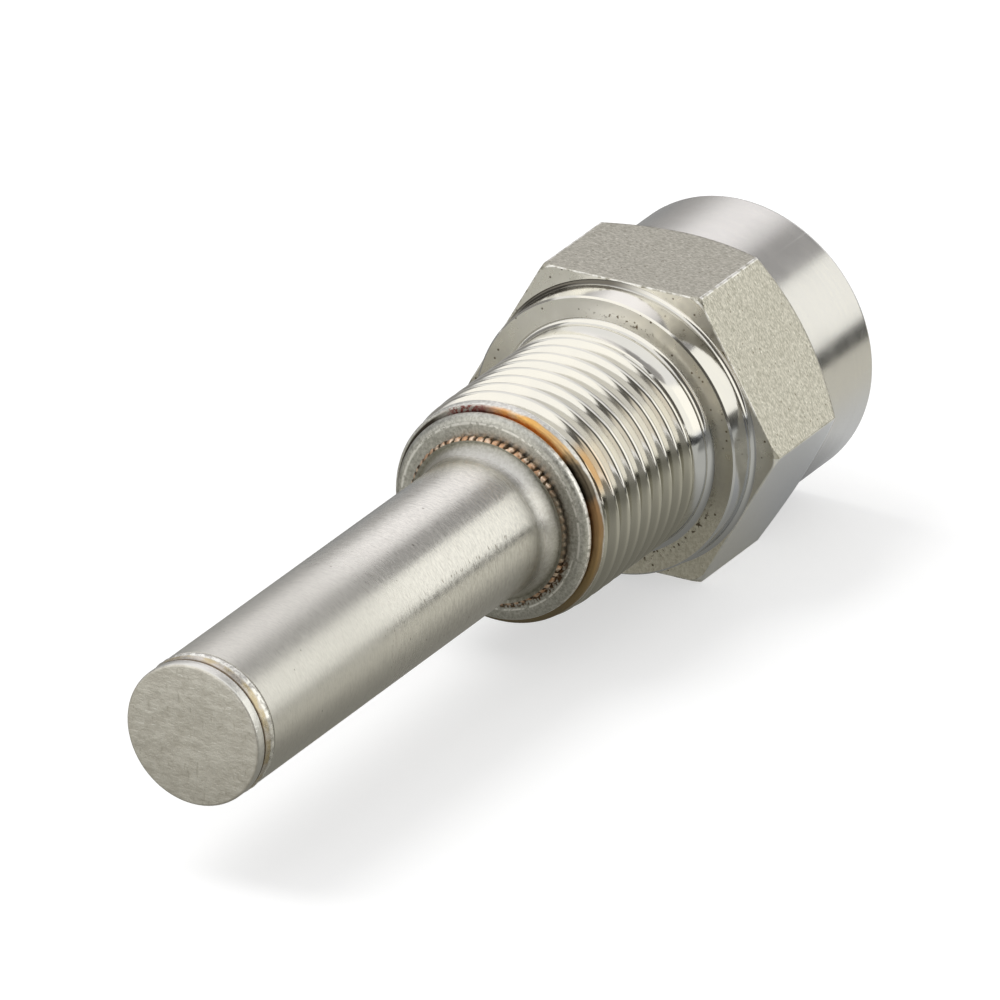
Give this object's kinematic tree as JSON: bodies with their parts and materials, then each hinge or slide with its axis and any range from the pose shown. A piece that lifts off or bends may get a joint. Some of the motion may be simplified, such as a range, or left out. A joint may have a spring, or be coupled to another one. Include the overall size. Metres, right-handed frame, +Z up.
{
  "type": "thermowell",
  "caption": "Welded steel thermowell: closed tube stem, nose with parallel male thread and sealing flange, hexagon, and turned sleeve with a female thread for a temperature probe.",
  "frame": {"origin": "centre of the sealing face, on the part's axis", "axes": "+X along the axis from the closed tip towards the open end, +Z up, square to the upper hexagon flat; the part lies on its lower hexagon flat"},
  "size_m": [0.094, 0.0312, 0.027],
  "materials": {
    "turned_steel": "machined stainless steel, bright turned faces and a mill finish on the flats",
    "tube_steel": "satin brushed stainless steel",
    "plug_steel": "matt stainless steel",
    "weld_metal": "rippled weld with straw and brown heat tint"
  },
  "bodies": {
    "root": {"hex_body": "turned_steel", "stem_tube": "tube_steel", "tip_plug": "plug_steel", "root_weld": "weld_metal", "tip_weld": "weld_metal"}
  },
  "joints": []
}
